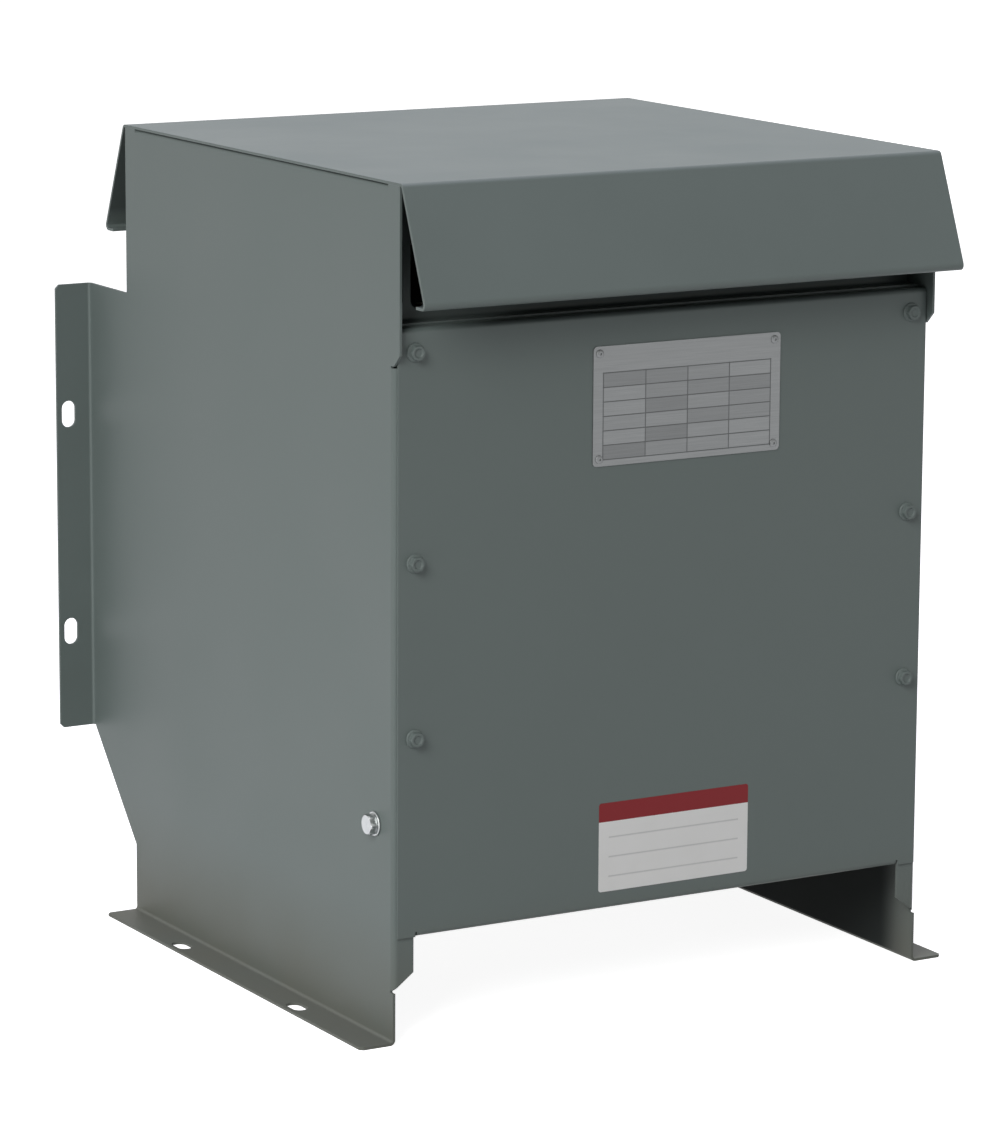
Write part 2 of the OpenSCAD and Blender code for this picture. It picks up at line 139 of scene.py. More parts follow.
# painted shade: the inside mask and the under-hood mask together
painted_shade = add_node(tree, "ShaderNodeMath",
                {0: inside.outputs["Value"], 1: hooded.outputs["Value"]}, operation="MAXIMUM")
# darker and browner over the lowest 90 mm, patchy with the cloud, with less reflection there too
low_down = add_node(tree, "ShaderNodeMapRange",
                    {"Value": level.outputs["Z"], "From Min": 0.090, "From Max": 0.0, "To Max": 0.60})
patchy = add_node(tree, "ShaderNodeMapRange",
                  {"Value": cloud.outputs["Fac"], "From Min": 0.3, "From Max": 0.7,
                   "To Min": 0.6, "To Max": 1.0})
toward_floor = add_node(tree, "ShaderNodeMath",
                   {0: low_down.outputs["Result"], 1: patchy.outputs["Result"]}, operation="MULTIPLY")
browner_low = add_node(tree, "ShaderNodeMix",
                  {0: toward_floor.outputs["Value"], 6: thin_edge_and_highlight.outputs[2], 7: linear("#6f6a5d")}, data_type="RGBA")
# painted shade: the colour goes towards a near-black grey inside and under the hoods
shaded_coat = add_node(tree, "ShaderNodeMix",
                  {0: painted_shade.outputs["Value"], 6: browner_low.outputs[2], 7: linear("#2c302f")}, data_type="RGBA")
# less reflection where the painted shade lies, and just above the floor
muted = add_node(tree, "ShaderNodeMath",
                 {0: toward_floor.outputs["Value"], 1: painted_shade.outputs["Value"]}, operation="MAXIMUM")
dull = add_node(tree, "ShaderNodeMapRange",
                {"Value": muted.outputs["Value"], "To Min": 0.35, "To Max": 0.03})
sheen = add_node(tree, "ShaderNodeMapRange",
                 {"Value": cloud.outputs["Fac"], "From Min": 0.3, "From Max": 0.7,
                  "To Min": 0.46, "To Max": 0.54})
peel = add_node(tree, "ShaderNodeTexNoise",
                {"Vector": spot.outputs["Object"], "Scale": 1 / 0.0025, "Detail": 1.5})
bumps = add_node(tree, "ShaderNodeBump",
                 {"Height": peel.outputs["Fac"], "Strength": 0.35, "Distance": 0.0001,
                  "Normal": rounded.outputs["Normal"]})
skin = add_node(tree, "ShaderNodeBsdfPrincipled",
                {"Base Color": shaded_coat.outputs[2], "Roughness": sheen.outputs["Result"], "IOR": 1.5,
                 "Specular IOR Level": dull.outputs["Result"], "Normal": bumps.outputs["Normal"]})
add_node(tree, "ShaderNodeOutputMaterial", {"Surface": skin.outputs["BSDF"]})
coat(powder_coat, "left_side", "right_side")


# ---- Earthing bolt ------------------------------------------------------------------------------
# M8 bolt through the left side sheet, low down behind the front edge: head and washer outside,
# washer and nut inside for the earth lug. Zinc-plated steel, cold-headed with a rolled thread.


def ring(radius, height, flats=0, limit=1.0, steps=36):
    """Points round Z. With flats, radius is half the width over them and limit cuts the corners."""
    points = []
    for k in range(steps):
        angle = 2 * math.pi * k / steps
        reach = radius
        if flats:
            reach = min(radius / math.cos(angle % (2 * math.pi / flats) - math.pi / flats), limit)
        points.append(Vector((reach * math.cos(angle), reach * math.sin(angle), height)))
    return points


def placed(rings, where, out=(0, 0, 1)):
    """Rings drawn along Z, moved to a place and turned to point outwards."""
    turn = Matrix.Translation(where) @ Vector(out).to_track_quat("Z", "Y").to_matrix().to_4x4()
    return [[turn @ p for p in each] for each in rings]


def loft(name, bodies, material, smooth=35):
    """One piece of closed bodies. Each body is a list of rings of points, joined in turn and capped."""
    points, faces = [], []
    for rings in bodies:
        start, count, last = len(points), len(rings[0]), len(rings) - 1
        points += [tuple(p) for each in rings for p in each]
        for r in range(last):
            for k in range(count):
                a, b = start + r * count + k, start + r * count + (k + 1) % count
                faces.append((a, b, b + count, a + count))
        faces.append([start + k for k in reversed(range(count))])
        faces.append([start + last * count + k for k in range(count)])
    mesh = bpy.data.meshes.new(name)
    mesh.from_pydata(points, [], faces)
    mesh.materials.append(material)
    mesh.shade_smooth()
    mesh.set_sharp_from_angle(angle=math.radians(smooth))
    piece = bpy.data.objects.new(name, mesh)
    bpy.context.scene.collection.objects.link(piece)
    return piece


# Bright zinc plate: a metal with a soft sheen, slightly cloudy from the bath.
zinc_plate, tree = new_material("zinc_plated_steel")
spot = add_node(tree, "ShaderNodeTexCoord")
bath = add_node(tree, "ShaderNodeTexNoise",
                {"Vector": spot.outputs["Object"], "Scale": 1 / 0.004, "Detail": 3.0})
tint = add_node(tree, "ShaderNodeMix",
                {0: bath.outputs["Fac"], 6: linear("#9b9fa1"), 7: linear("#bcbebc")}, data_type="RGBA")
satin = add_node(tree, "ShaderNodeMapRange",
                 {"Value": bath.outputs["Fac"], "To Min": 0.22, "To Max": 0.42})
skin = add_node(tree, "ShaderNodeBsdfPrincipled",
                {"Base Color": tint.outputs[2], "Metallic": 1.0, "Roughness": satin.outputs["Result"]})
add_node(tree, "ShaderNodeOutputMaterial", {"Surface": skin.outputs["BSDF"]})


def hexagon(across, height, bore=0.0):
    """Rings of a hexagon with both faces chamfered, and a round recess on top when bored."""
    flat, corner = across / 2, across / 2 / math.cos(math.pi / 6)
    chamfer = 0.10 * flat
    rings = [ring(flat, 0, 6, flat), ring(flat, chamfer / 2, 6, corner),
             ring(flat, height - chamfer, 6, corner), ring(flat, height, 6, flat * 1.01)]
    if bore:
        rings += [ring(bore, height), ring(bore, height - chamfer)]
    return rings


def washer(across, thick):
    """Rings of a flat washer with a small bevel."""
    bevel = thick / 4
    return [ring(across / 2 - bevel, 0), ring(across / 2, bevel), ring(across / 2, thick - bevel),
            ring(across / 2 - bevel, thick)]


inner_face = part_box("front_rail")[0].x
side_gauge = 0.0019
bolt_y, bolt_z = -0.1890, 0.1508
bolt_d, bolt_across, head_h, nut_h = 0.008, 0.0130, 0.0053, 0.0065
shank_out, tip_h, tip_share = 0.012, 0.001, 0.42
washer_across, washer_t = 0.0170, 0.0016
outer_face = inner_face - side_gauge
bolt_bodies = []
for face, out in ((outer_face, -1), (inner_face, 1)):
    bolt_bodies.append(placed(washer(washer_across, washer_t), (face, bolt_y, bolt_z), (out, 0, 0)))
seat = (outer_face - washer_t, bolt_y, bolt_z)
bolt_bodies.append(placed(hexagon(bolt_across, head_h), seat, (-1, 0, 0)))
seat = (inner_face + washer_t, bolt_y, bolt_z)
bolt_bodies.append(placed(hexagon(bolt_across, nut_h, bolt_d / 2), seat, (1, 0, 0)))
shank = [ring(bolt_d / 2, 0), ring(bolt_d / 2, shank_out),
         ring(bolt_d * tip_share, shank_out + tip_h)]
bolt_bodies.append(placed(shank, seat, (1, 0, 0)))
earth_bolt = loft("earthing_bolt", bolt_bodies, zinc_plate)
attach(earth_bolt, "root")


# ---- Rails --------------------------------------------------------------------------------------
# Two channels across the case that carry the core. They are folded from sheet, welded to both side
# sheets at their ends, and powder coated with them.
coat(powder_coat, "front_rail", "rear_rail")

# a fillet bead up the web at each end, stepped into ripples as the weld pool froze
bead_r, bead_start, bead_rings, bead_steps = 0.0032, 0.004, 15, 6
ripple, ripple_share, end_share = 0.0024, 0.84, 0.55
quarter_turn = [math.pi / 2 * k / bead_steps for k in range(bead_steps + 1)]
for rail, web, out in (("front_rail", 0, -1), ("rear_rail", 1, 1)):
    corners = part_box(rail)
    web_y = corners[web].y
    bodies = []
    for end_x, way in ((corners[0].x, 1), (corners[1].x, -1)):
        rings = []
        for i in range(bead_rings):
            z = corners[0].z + bead_start + i * ripple
            reach = bead_r * (1.0 if i % 2 else ripple_share)
            reach *= end_share if i in (0, bead_rings - 1) else 1.0
            bead = [Vector((end_x + way * reach * math.cos(a), web_y + out * reach * math.sin(a), z))
                    for a in quarter_turn]
            rings.append(bead + [Vector((end_x, web_y, z))])
        bodies.append(rings)
    beads = loft(rail + "_welds", bodies, powder_coat, smooth=80)
    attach(beads, "root")


# ---- Rubber pads --------------------------------------------------------------------------------
# Four moulded discs of black neoprene between the rails and the core's lower clamps, which keep the
# hum of the core off the case. They are held by the core's weight.

# Moulded neoprene: nearly black, dull, with a bloom of grey and a fine mould texture of 1 mm.
neoprene, tree = new_material("moulded_neoprene")
spot = add_node(tree, "ShaderNodeTexCoord")
grit = add_node(tree, "ShaderNodeTexNoise",
                {"Vector": spot.outputs["Object"], "Scale": 1 / 0.0010, "Detail": 2.0})
bloom = add_node(tree, "ShaderNodeTexNoise",
                 {"Vector": spot.outputs["Object"], "Scale": 1 / 0.012, "Detail": 2.0})
tone = add_node(tree, "ShaderNodeMix",
                {0: bloom.outputs["Fac"], 6: linear("#191a1b"), 7: linear("#2c2d2e")}, data_type="RGBA")
bumps = add_node(tree, "ShaderNodeBump",
                 {"Height": grit.outputs["Fac"], "Strength": 0.5, "Distance": 0.0001})
skin = add_node(tree, "ShaderNodeBsdfPrincipled",
                {"Base Color": tone.outputs[2], "Roughness": 0.78, "IOR": 1.52,
                 "Normal": bumps.outputs["Normal"]})
add_node(tree, "ShaderNodeOutputMaterial", {"Surface": skin.outputs["BSDF"]})
coat(neoprene, "rubber_pads")


# ---- Core ---------------------------------------------------------------------------------------
# Laminations of silicon steel stacked from front to back: E-shaped ones for the lower yoke and the
# limbs, straight ones for the upper yoke. The stack is dipped in a clear lacquer.

# Lacquered electrical steel: blue-grey metal under a thin film. A sheet is 0.35 mm thick, too fine
# to show, so the stack is drawn in bands of about 2 mm.
silicon_steel, tree = new_material("lacquered_silicon_steel")
spot = add_node(tree, "ShaderNodeTexCoord")
axes = add_node(tree, "ShaderNodeSeparateXYZ", {"Vector": spot.outputs["Object"]})
stack = add_node(tree, "ShaderNodeTexNoise",
                 {"W": axes.outputs["Y"], "Scale": 1 / 0.0020, "Detail": 2.0}, noise_dimensions="1D")
stain = add_node(tree, "ShaderNodeTexNoise",
                 {"Vector": spot.outputs["Object"], "Scale": 1 / 0.040, "Detail": 4.0})
sheets = add_node(tree, "ShaderNodeMix",
                  {0: stack.outputs["Fac"], 6: linear("#3d4348"), 7: linear("#71777b")}, data_type="RGBA")
lacquer = add_node(tree, "ShaderNodeMix",
                   {0: stain.outputs["Fac"], 6: sheets.outputs[2], 7: linear("#5a5247")}, data_type="RGBA")
bumps = add_node(tree, "ShaderNodeBump",
                 {"Height": stack.outputs["Fac"], "Strength": 0.6, "Distance": 0.0002})
skin = add_node(tree, "ShaderNodeBsdfPrincipled",
                {"Base Color": lacquer.outputs[2], "Metallic": 0.85, "Roughness": 0.46,
                 "Coat Weight": 0.4, "Coat Roughness": 0.25, "Normal": bumps.outputs["Normal"]})
add_node(tree, "ShaderNodeOutputMaterial", {"Surface": skin.outputs["BSDF"]})
coat(silicon_steel, "core_lower", "core_upper_yoke")


# ---- Core clamps and their bolts ----------------------------------------------------------------
# Four angles folded from 4 mm plate that press the yokes together, brushed with a dark enamel, and
# the zinc-plated bolts that pass from the front to the rear angles beside the core.

# Alkyd enamel, brushed on: near black with a green cast, half gloss, brush marks along the angle.
dark_enamel, tree = new_material("brushed_on_enamel")
spot = add_node(tree, "ShaderNodeTexCoord")
along = add_node(tree, "ShaderNodeMapping",
                 {"Vector": spot.outputs["Object"], "Scale": (1 / 0.060, 1 / 0.0025, 1 / 0.0025)})
marks = add_node(tree, "ShaderNodeTexNoise",
                 {"Vector": along.outputs["Vector"], "Scale": 1.0, "Detail": 3.0})
tone = add_node(tree, "ShaderNodeMix",
                {0: marks.outputs["Fac"], 6: linear("#2a2f2e"), 7: linear("#3b4240")}, data_type="RGBA")
bumps = add_node(tree, "ShaderNodeBump",
                 {"Height": marks.outputs["Fac"], "Strength": 0.4, "Distance": 0.00015})
skin = add_node(tree, "ShaderNodeBsdfPrincipled",
                {"Base Color": tone.outputs[2], "Roughness": 0.38, "IOR": 1.5,
                 "Normal": bumps.outputs["Normal"]})
add_node(tree, "ShaderNodeOutputMaterial", {"Surface": skin.outputs["BSDF"]})
coat(dark_enamel, "lower_front_clamp", "lower_rear_clamp", "upper_front_clamp", "upper_rear_clamp")
coat(zinc_plate, "lower_clamp_bolts", "upper_clamp_bolts")


# ---- Inner windings and duct sticks -------------------------------------------------------------
# Copper strip wound over aramid paper round each limb, with sticks of the same board stood on it to
# keep an air duct open under the outer winding.

# Aramid paper: warm straw yellow, matt, with pressed fibres about 4 mm long.
aramid_paper, tree = new_material("aramid_paper")
spot = add_node(tree, "ShaderNodeTexCoord")
fibres = add_node(tree, "ShaderNodeMapping",
                  {"Vector": spot.outputs["Object"], "Scale": (1 / 0.0010, 1 / 0.0010, 1 / 0.0040)})
felt = add_node(tree, "ShaderNodeTexNoise",
                {"Vector": fibres.outputs["Vector"], "Scale": 1.0, "Detail": 3.0})
tone = add_node(tree, "ShaderNodeMix",
                {0: felt.outputs["Fac"], 6: linear("#9a8050"), 7: linear("#c9ae78")}, data_type="RGBA")
bumps = add_node(tree, "ShaderNodeBump",
                 {"Height": felt.outputs["Fac"], "Strength": 0.4, "Distance": 0.0001})
skin = add_node(tree, "ShaderNodeBsdfPrincipled",
                {"Base Color": tone.outputs[2], "Roughness": 0.72, "IOR": 1.5,
                 "Normal": bumps.outputs["Normal"]})
add_node(tree, "ShaderNodeOutputMaterial", {"Surface": skin.outputs["BSDF"]})
for limb in ("left", "middle", "right"):
    coat(aramid_paper, limb + "_inner_winding", limb + "_duct_sticks")


# ---- Outer windings -----------------------------------------------------------------------------
# Copper strip wound over the duct sticks, taped with glass tape in half-lapped turns, then dipped
# in varnish and baked.

# Varnished glass tape: red-brown and glossy, darker where the varnish pooled, with a ridge at each
# lap of the 19 mm tape and a weave of about 1.5 mm, drawn coarser than the real 0.6 mm to show.
varnished_tape, tree = new_material("varnished_glass_tape")
spot = add_node(tree, "ShaderNodeTexCoord")
axes = add_node(tree, "ShaderNodeSeparateXYZ", {"Vector": spot.outputs["Object"]})
turns = add_node(tree, "ShaderNodeMath", {0: axes.outputs["Z"], 1: 1 / 0.0095}, operation="MULTIPLY")
lap = add_node(tree, "ShaderNodeMath", {0: turns.outputs["Value"]}, operation="FRACT")
weave = add_node(tree, "ShaderNodeTexVoronoi",
                 {"Vector": spot.outputs["Object"], "Scale": 1 / 0.0015, "Randomness": 0.35})
pools = add_node(tree, "ShaderNodeTexNoise",
                 {"Vector": spot.outputs["Object"], "Scale": 1 / 0.030, "Detail": 4.0})
base = add_node(tree, "ShaderNodeMix",
                {0: pools.outputs["Fac"], 6: linear("#3a1c10"), 7: linear("#8a5130")}, data_type="RGBA")
# painted shade: the band just past each lap's step is darker
shaded = add_node(tree, "ShaderNodeMapRange",
                  {"Value": lap.outputs["Value"], "From Max": 0.12, "To Min": 0.6, "To Max": 0.0})
tone = add_node(tree, "ShaderNodeMix",
                {0: shaded.outputs["Result"], 6: base.outputs[2], 7: linear("#1f0f09")}, data_type="RGBA")
ridges = add_node(tree, "ShaderNodeBump",
                  {"Height": lap.outputs["Value"], "Strength": 0.8, "Distance": 0.0006})
bumps = add_node(tree, "ShaderNodeBump",
                 {"Height": weave.outputs["Distance"], "Strength": 0.3, "Distance": 0.0002,
                  "Normal": ridges.outputs["Normal"]})
skin = add_node(tree, "ShaderNodeBsdfPrincipled",
                {"Base Color": tone.outputs[2], "Roughness": 0.35, "IOR": 1.54, "Coat Weight": 0.5,
                 "Coat Roughness": 0.12, "Normal": bumps.outputs["Normal"]})
add_node(tree, "ShaderNodeOutputMaterial", {"Surface": skin.outputs["BSDF"]})
coat(varnished_tape, "left_outer_winding", "middle_outer_winding", "right_outer_winding")


# ---- Coil blocks and terminal board -------------------------------------------------------------
# Bars above and below the windings and the board that carries the terminals, sawn from glass
# polyester sheet and laid or bolted on the steel.

# Glass-polyester laminate: brick red, satin, with pale chopped strands of about 6 mm in the resin.
glass_polyester, tree = new_material("glass_polyester_laminate")
spot = add_node(tree, "ShaderNodeTexCoord")
strands = add_node(tree, "ShaderNodeTexVoronoi",
                   {"Vector": spot.outputs["Object"], "Scale": 1 / 0.0060}, feature="DISTANCE_TO_EDGE")
resin = add_node(tree, "ShaderNodeTexNoise",
                 {"Vector": spot.outputs["Object"], "Scale": 1 / 0.0080, "Detail": 4.0})
red = add_node(tree, "ShaderNodeMix",
               {0: resin.outputs["Fac"], 6: linear("#6f2519"), 7: linear("#a34a35")}, data_type="RGBA")
pale = add_node(tree, "ShaderNodeMapRange",
                {"Value": strands.outputs["Distance"], "From Max": 0.06, "To Min": 0.35,
                 "To Max": 0.0})
tone = add_node(tree, "ShaderNodeMix",
                {0: pale.outputs["Result"], 6: red.outputs[2], 7: linear("#c07a62")}, data_type="RGBA")
bumps = add_node(tree, "ShaderNodeBump",
                 {"Height": resin.outputs["Fac"], "Strength": 0.3, "Distance": 0.0001})
skin = add_node(tree, "ShaderNodeBsdfPrincipled",
                {"Base Color": tone.outputs[2], "Roughness": 0.48, "IOR": 1.52,
                 "Normal": bumps.outputs["Normal"]})
add_node(tree, "ShaderNodeOutputMaterial", {"Surface": skin.outputs["BSDF"]})
coat(glass_polyester, "lower_coil_blocks", "upper_coil_blocks", "terminal_board")


# ---- Terminals ----------------------------------------------------------------------------------
# Six M8 studs turned from brass rod and set upright through the board, each held by one hexagon nut
# that seats on it. No cable lugs are fitted.

# Machined brass: warm yellow metal, half bright, with turning marks round the stud.
brass, tree = new_material("machined_brass")
spot = add_node(tree, "ShaderNodeTexCoord")
axes = add_node(tree, "ShaderNodeSeparateXYZ", {"Vector": spot.outputs["Object"]})
tooling = add_node(tree, "ShaderNodeTexNoise",
                   {"W": axes.outputs["Z"], "Scale": 1 / 0.0006, "Detail": 2.0}, noise_dimensions="1D")
tarnish = add_node(tree, "ShaderNodeTexNoise",
                   {"Vector": spot.outputs["Object"], "Scale": 1 / 0.010, "Detail": 3.0})
tone = add_node(tree, "ShaderNodeMix",
                {0: tarnish.outputs["Fac"], 6: linear("#a57c35"), 7: linear("#d9b566")}, data_type="RGBA")
bumps = add_node(tree, "ShaderNodeBump",
                 {"Height": tooling.outputs["Fac"], "Strength": 0.25, "Distance": 0.0001})
skin = add_node(tree, "ShaderNodeBsdfPrincipled",
                {"Base Color": tone.outputs[2], "Metallic": 1.0, "Roughness": 0.32,
                 "Normal": bumps.outputs["Normal"]})
add_node(tree, "ShaderNodeOutputMaterial", {"Surface": skin.outputs["BSDF"]})
coat(brass, "terminal_studs")


# ---- Front panel, rear panel and vent grilles ---------------------------------------------------
# Panels folded from 1.5 mm steel: the front one lies on the side returns, the rear one sits between
# the sheets. A slotted channel stands on each sill. All are powder coated.
coat(powder_coat, "front_panel", "rear_panel", "front_vent_grille", "rear_vent_grille")


# ---- Panel screws -------------------------------------------------------------------------------
# Three hexagon washer-head screws at each end of the front panel, driven into the side returns.
# Steel, finished in the case's grey, with a small recess in the head.
panel_low, panel_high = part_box("front_panel")
plate_front = panel_low.y
screw_levels = (0.4777, 0.3345, 0.2138)
screw_in = 0.0130
flat_r, corner_r, flat_low, flat_high, top = 0.0048, 0.0054, 0.0015, 0.0046, 0.0053
washer_face = ((0.0066, 0), (0.0067, 0.0005), (0.0062, 0.0012), (0.0055, 0.0014))
recess = ((0.0033, top), (0.0026, 0.0044))
head = [ring(radius, height) for radius, height in washer_face]
head += [ring(flat_r, flat_low, 6, corner_r), ring(flat_r, flat_high, 6, corner_r),
         ring(flat_r, top, 6, flat_r)]
head += [ring(radius, height) for radius, height in recess]
bodies = []
for x in (panel_low.x + screw_in, panel_high.x - screw_in):
    for z in screw_levels:
        bodies.append(placed(head, (x, plate_front, z), (0, -1, 0)))
screws = loft("front_panel_screws", bodies, powder_coat)
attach(screws, "root")


# ---- Cover --------------------------------------------------------------------------------------
# One sheet over the whole case, bent down into a hood with a level lip at the front and the rear.
# It is spot-welded to the side sheets' top flanges and powder coated with them.
coat(powder_coat, "top_cover")


# ---- Nameplate ----------------------------------------------------------------------------------
# A bare sheet of aluminium, 0.8 mm thick, held by four blind rivets. It is printed with the empty
# ruled table of a rating plate, and nothing is filled in.
plate_low, plate_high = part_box("nameplate")
plate_mid = (plate_low + plate_high) / 2
rivet_in = 0.005

# Etched and anodised aluminium: dull grey metal with a grain along the plate, drawn 0.5 mm wide so
# that it shows. Thin rules and a tint in some cells are printed on it in dark grey ink. The table
# is shifted by whole cells, clear of the pattern's zero lines.
cell_w, cell_h, rule_w, columns, rows = 0.034, 0.010, 0.0004, 4, 6
table_level, table_margin = -0.007, 0.0005
shift_right, shift_up = (columns / 2 + 8) * cell_w, (rows / 2 + 30) * cell_h - table_level
etched_aluminium, tree = new_material("etched_aluminium")
spot = add_node(tree, "ShaderNodeTexCoord")
from_mid = add_node(tree, "ShaderNodeVectorMath",
                    {0: spot.outputs["Object"], 1: plate_mid}, operation="SUBTRACT")
axes = add_node(tree, "ShaderNodeSeparateXYZ", {"Vector": from_mid.outputs["Vector"]})
grain_axes = add_node(tree, "ShaderNodeMapping",
                      {"Vector": spot.outputs["Object"], "Scale": (1 / 0.030, 1 / 0.0005, 1 / 0.0005)})
grain = add_node(tree, "ShaderNodeTexNoise",
                 {"Vector": grain_axes.outputs["Vector"], "Scale": 1.0, "Detail": 3.0})
metal = add_node(tree, "ShaderNodeMix",
                 {0: grain.outputs["Fac"], 6: linear("#6c6e6e"), 7: linear("#7d7f7f")}, data_type="RGBA")
flat = add_node(tree, "ShaderNodeCombineXYZ", {"X": axes.outputs["X"], "Y": axes.outputs["Z"]})
shifted = add_node(tree, "ShaderNodeVectorMath",
                   {0: flat.outputs["Vector"], 1: (shift_right, shift_up, 0.0)}, operation="ADD")
rules = add_node(tree, "ShaderNodeTexBrick",
                 {"Vector": shifted.outputs["Vector"], "Scale": 1.0, "Mortar Size": rule_w,
                  "Mortar Smooth": 0.1, "Brick Width": cell_w, "Row Height": cell_h, "Bias": -0.2,
                  "Color1": (0.0, 0.0, 0.0, 1.0), "Color2": (0.3, 0.3, 0.3, 1.0),
                  "Mortar": (0.75, 0.75, 0.75, 1.0)}, offset=0.0, squash=1.0)
table_x = add_node(tree, "ShaderNodeMath",
                   {0: axes.outputs["X"], 1: 0.0, 2: columns / 2 * cell_w + table_margin},
                   operation="COMPARE")
table_z = add_node(tree, "ShaderNodeMath",
                   {0: axes.outputs["Z"], 1: table_level, 2: rows / 2 * cell_h + table_margin},
                   operation="COMPARE")
table = add_node(tree, "ShaderNodeMath",
                 {0: table_x.outputs["Value"], 1: table_z.outputs["Value"]}, operation="MULTIPLY")
inked = add_node(tree, "ShaderNodeMath",
                 {0: rules.outputs["Color"], 1: table.outputs["Value"]}, operation="MULTIPLY")
printed = add_node(tree, "ShaderNodeMix",
                   {0: inked.outputs["Value"], 6: metal.outputs[2], 7: linear("#3a3c3d")}, data_type="RGBA")
bare = add_node(tree, "ShaderNodeMapRange",
                {"Value": inked.outputs["Value"], "To Min": 0.9, "To Max": 0.1})
skin = add_node(tree, "ShaderNodeBsdfPrincipled",
                {"Base Color": printed.outputs[2], "Metallic": bare.outputs["Result"],
                 "Roughness": 0.48})
add_node(tree, "ShaderNodeOutputMaterial", {"Surface": skin.outputs["BSDF"]})
coat(etched_aluminium, "nameplate")

# Blind rivets in the plate's four holes: a low dome with the hole left by the pulled pin.
rivet_outline = ((0.0014, -0.0007), (0.0014, 0.0), (0.0030, 0.0), (0.0029, 0.0004),
                 (0.0023, 0.0009), (0.0014, 0.0011), (0.0009, 0.0011), (0.0008, 0.0005))
dome = [ring(radius, height) for radius, height in rivet_outline]
bodies = []
for x in (plate_low.x + rivet_in, plate_high.x - rivet_in):
    for z in (plate_low.z + rivet_in, plate_high.z - rivet_in):
        bodies.append(placed(dome, (x, plate_low.y, z), (0, -1, 0)))
rivets = loft("nameplate_rivets", bodies, etched_aluminium)
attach(rivets, "root")


# ---- Blank label --------------------------------------------------------------------------------
# A vinyl sticker low on the front panel, 0.15 mm thick with rounded corners: a red band over a
# white field with faint ruled lines. It is left without words or signs.
label_w, label_h, label_t, label_r = 0.123, 0.0635, 0.00015, 0.002
label_x, label_z = 0.0078, 0.1190
band_h, rule_gap, rule_margin = 0.0135, 0.014, 0.008
band_z = label_z + label_h / 2 - band_h


def rounded_rectangle(width, height, r, level, steps=6):
    """Points round a rectangle with round corners, drawn flat at a level."""
    points = []
    for turn, (sx, sy) in enumerate(((1, 1), (-1, 1), (-1, -1), (1, -1))):
        for k in range(steps + 1):
            a = math.pi / 2 * (turn + k / steps)
            points.append(Vector((sx * (width / 2 - r) + r * math.cos(a),
                                  sy * (height / 2 - r) + r * math.sin(a), level)))
    return points


# Printed vinyl: smooth and slightly glossy, off-white and signal red, with a soft grey rule every
# 14 mm of the white field and a little unevenness from the panel below.
printed_vinyl, tree = new_material("printed_vinyl")
spot = add_node(tree, "ShaderNodeTexCoord")
axes = add_node(tree, "ShaderNodeSeparateXYZ", {"Vector": spot.outputs["Object"]})
tack = add_node(tree, "ShaderNodeTexNoise",
                {"Vector": spot.outputs["Object"], "Scale": 1 / 0.020, "Detail": 2.0})
white = add_node(tree, "ShaderNodeMix",
                 {0: tack.outputs["Fac"], 6: linear("#f1f1ee"), 7: linear("#f7f7f5")}, data_type="RGBA")
to_rule = add_node(tree, "ShaderNodeMath",
                   {0: axes.outputs["Z"], 1: rule_gap / 2}, operation="PINGPONG")
rule = add_node(tree, "ShaderNodeMapRange",
                {"Value": to_rule.outputs["Value"], "From Min": 0.0008, "From Max": 0.0002,
                 "To Max": 0.35})
rule_span = add_node(tree, "ShaderNodeMath",
                     {0: axes.outputs["X"], 1: label_x, 2: label_w / 2 - rule_margin},
                     operation="COMPARE")
ruled = add_node(tree, "ShaderNodeMath",
                 {0: rule.outputs["Result"], 1: rule_span.outputs["Value"]}, operation="MULTIPLY")
field = add_node(tree, "ShaderNodeMix",
                 {0: ruled.outputs["Value"], 6: white.outputs[2], 7: linear("#7d7f80")}, data_type="RGBA")
band = add_node(tree, "ShaderNodeMath", {0: axes.outputs["Z"], 1: band_z}, operation="GREATER_THAN")
face = add_node(tree, "ShaderNodeMix",
                {0: band.outputs["Value"], 6: field.outputs[2], 7: linear("#800c14")}, data_type="RGBA")
bumps = add_node(tree, "ShaderNodeBump",
                 {"Height": tack.outputs["Fac"], "Strength": 0.2, "Distance": 0.0003})
skin = add_node(tree, "ShaderNodeBsdfPrincipled",
                {"Base Color": face.outputs[2], "Roughness": 0.42, "IOR": 1.5, "Specular IOR Level": 0.3,
                 "Normal": bumps.outputs["Normal"]})
add_node(tree, "ShaderNodeOutputMaterial", {"Surface": skin.outputs["BSDF"]})

rings = [rounded_rectangle(label_w, label_h, label_r, 0.0),
         rounded_rectangle(label_w, label_h, label_r, label_t)]
lying = Matrix.Translation((label_x, plate_front, label_z)) @ Matrix.Rotation(math.pi / 2, 4, "X")
label = loft("blank_label", [[[lying @ p for p in each] for each in rings]], printed_vinyl)
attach(label, "root")


# ---- Floor, light and camera --------------------------------------------------------------------
# A plain pale floor under a white surround, a large soft lamp at the front left, one above, one low
# behind at the right, and two weak ones low down. The floor shows white with the case's soft
# shadow, partly cast and partly painted as a weaker glow close to the case, and throws little light back.


def seen_directly(tree):
    """1 for what the camera, a reflection or glass shows, and 0 for the light that surfaces scatter."""
    path = add_node(tree, "ShaderNodeLightPath")
    either = add_node(tree, "ShaderNodeMath",
                      {0: path.outputs["Is Camera Ray"], 1: path.outputs["Is Glossy Ray"]},
                      operation="MAXIMUM")
    return add_node(tree, "ShaderNodeMath",
                    {0: either.outputs["Value"], 1: path.outputs["Is Transmission Ray"]},
                    operation="MAXIMUM").outputs["Value"]


floor_half = 30
glow_near, glow_far = 0.915, 0.97

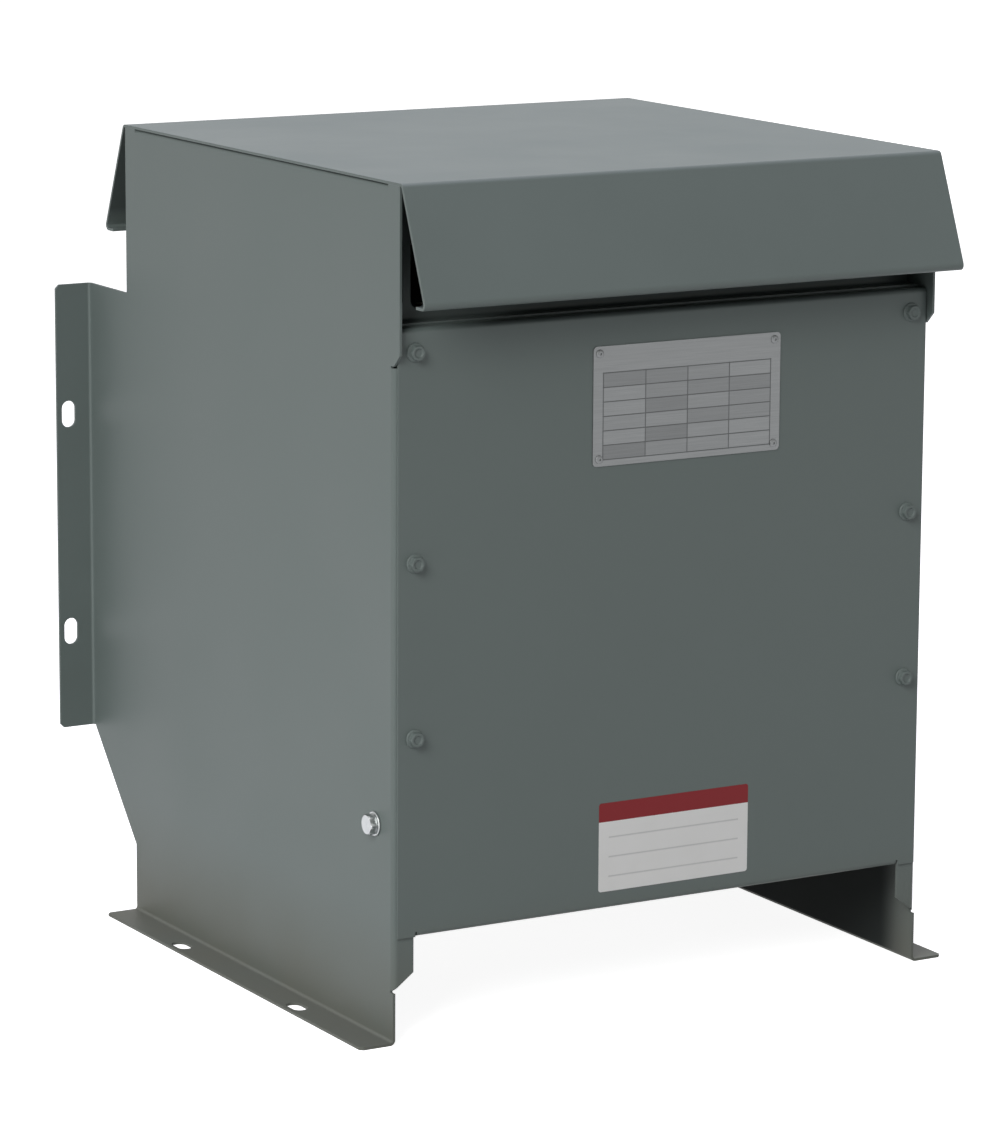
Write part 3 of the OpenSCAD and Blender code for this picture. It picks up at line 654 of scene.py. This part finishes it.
# Pale floor: matt and nearly white. Seen directly it glows, a little less close to the case as a
# painted shadow round it, and it throws back only as much light as a mid grey.
floor_paint, tree = new_material("pale_floor")
spot = add_node(tree, "ShaderNodeTexCoord")
fleck = add_node(tree, "ShaderNodeTexNoise",
                 {"Vector": spot.outputs["Object"], "Scale": 1 / 0.500, "Detail": 2.0})
pale = add_node(tree, "ShaderNodeMix",
                {0: fleck.outputs["Fac"], 6: linear("#e6e6e6"), 7: linear("#eaeaea")}, data_type="RGBA")
lit = add_node(tree, "ShaderNodeBsdfDiffuse", {"Color": pale.outputs[2]})
away = add_node(tree, "ShaderNodeVectorMath", {0: spot.outputs["Object"]}, operation="LENGTH")
# painted shadow: the glow is a little weaker close to the case
shadow_pool = add_node(tree, "ShaderNodeMapRange",
                {"Value": away.outputs["Value"], "From Min": 0.1, "From Max": 1.2,
                 "To Min": glow_near, "To Max": glow_far}, interpolation_type="SMOOTHSTEP")
glow = add_node(tree, "ShaderNodeEmission",
                {"Color": linear("#ffffff"), "Strength": shadow_pool.outputs["Result"]})
shown = add_node(tree, "ShaderNodeAddShader", {0: lit.outputs["BSDF"], 1: glow.outputs["Emission"]})
thrown = add_node(tree, "ShaderNodeBsdfDiffuse", {"Color": linear("#8c8c8c")})
surface = add_node(tree, "ShaderNodeMixShader",
                   {0: seen_directly(tree), 1: thrown.outputs["BSDF"], 2: shown.outputs["Shader"]})
add_node(tree, "ShaderNodeOutputMaterial", {"Surface": surface.outputs["Shader"]})
floor_mesh = bpy.data.meshes.new("floor")
floor_mesh.from_pydata([(sx * floor_half, sy * floor_half, 0)
                        for sx, sy in ((-1, -1), (1, -1), (1, 1), (-1, 1))], [], [(0, 1, 2, 3)])
floor_mesh.materials.append(floor_paint)
floor = bpy.data.objects.new("floor", floor_mesh)
bpy.context.scene.collection.objects.link(floor)

world = bpy.data.worlds.new("surround")
bpy.context.scene.world = world
world.use_nodes = True
world.node_tree.nodes.clear()
tree = world.node_tree
sky = add_node(tree, "ShaderNodeBackground", {"Color": linear("#f4f6fa"), "Strength": 0.14})
backdrop = add_node(tree, "ShaderNodeBackground", {"Color": linear("#ffffff"), "Strength": 1.0})
around = add_node(tree, "ShaderNodeMixShader",
                  {0: seen_directly(tree), 1: sky.outputs["Background"],
                   2: backdrop.outputs["Background"]})
add_node(tree, "ShaderNodeOutputWorld", {"Surface": around.outputs["Shader"]})

middle = Vector((0.0, 0.0, 0.3))
for name, place, width, height, watts, tint in (
        ("main_lamp", (-4.8, -3.49, 4.0), 3.2, 3.2, 290.0, (1.0, 1.0, 1.0)),
        ("upper_lamp", (0.0, 0.3, 3.0), 1.5, 1.5, 36.0, (0.97, 0.92, 1.12)),
        ("rear_lamp", (5.2, 3.4, 0.3), 2.5, 0.4, 150.0, (1.0, 1.0, 1.0)),
        ("low_left_lamp", (-1.0, -0.3, 0.1), 1.2, 0.15, 1.4, (1.0, 1.0, 1.0)),
        ("low_right_lamp", (1.6, -2.6, 0.5), 1.0, 0.8, 4.0, (1.0, 1.0, 1.0))):
    lamp_data = bpy.data.lights.new(name, "AREA")
    lamp_data.shape = "RECTANGLE"
    lamp_data.size = width
    lamp_data.size_y = height
    lamp_data.energy = watts
    lamp_data.color = tint
    lamp = bpy.data.objects.new(name, lamp_data)
    lamp.location = place
    lamp.rotation_euler = (middle - Vector(place)).to_track_quat("-Z", "Y").to_euler()
    bpy.context.scene.collection.objects.link(lamp)

camera_turn, camera_tilt, camera_roll = -30.231, 11.208, 0.325
camera_data = bpy.data.cameras.new("camera")
camera_data.lens = 154.14
camera_data.clip_end = 200
camera = bpy.data.objects.new("camera", camera_data)
camera.location = (-1.7513, -2.9908, 0.9644)
camera.rotation_euler = (Matrix.Rotation(math.radians(camera_turn), 4, "Z")
                         @ Matrix.Rotation(math.radians(90 - camera_tilt), 4, "X")
                         @ Matrix.Rotation(math.radians(camera_roll), 4, "Z")).to_euler()
bpy.context.scene.collection.objects.link(camera)
bpy.context.scene.camera = camera
bpy.context.scene.view_settings.view_transform = "Standard"
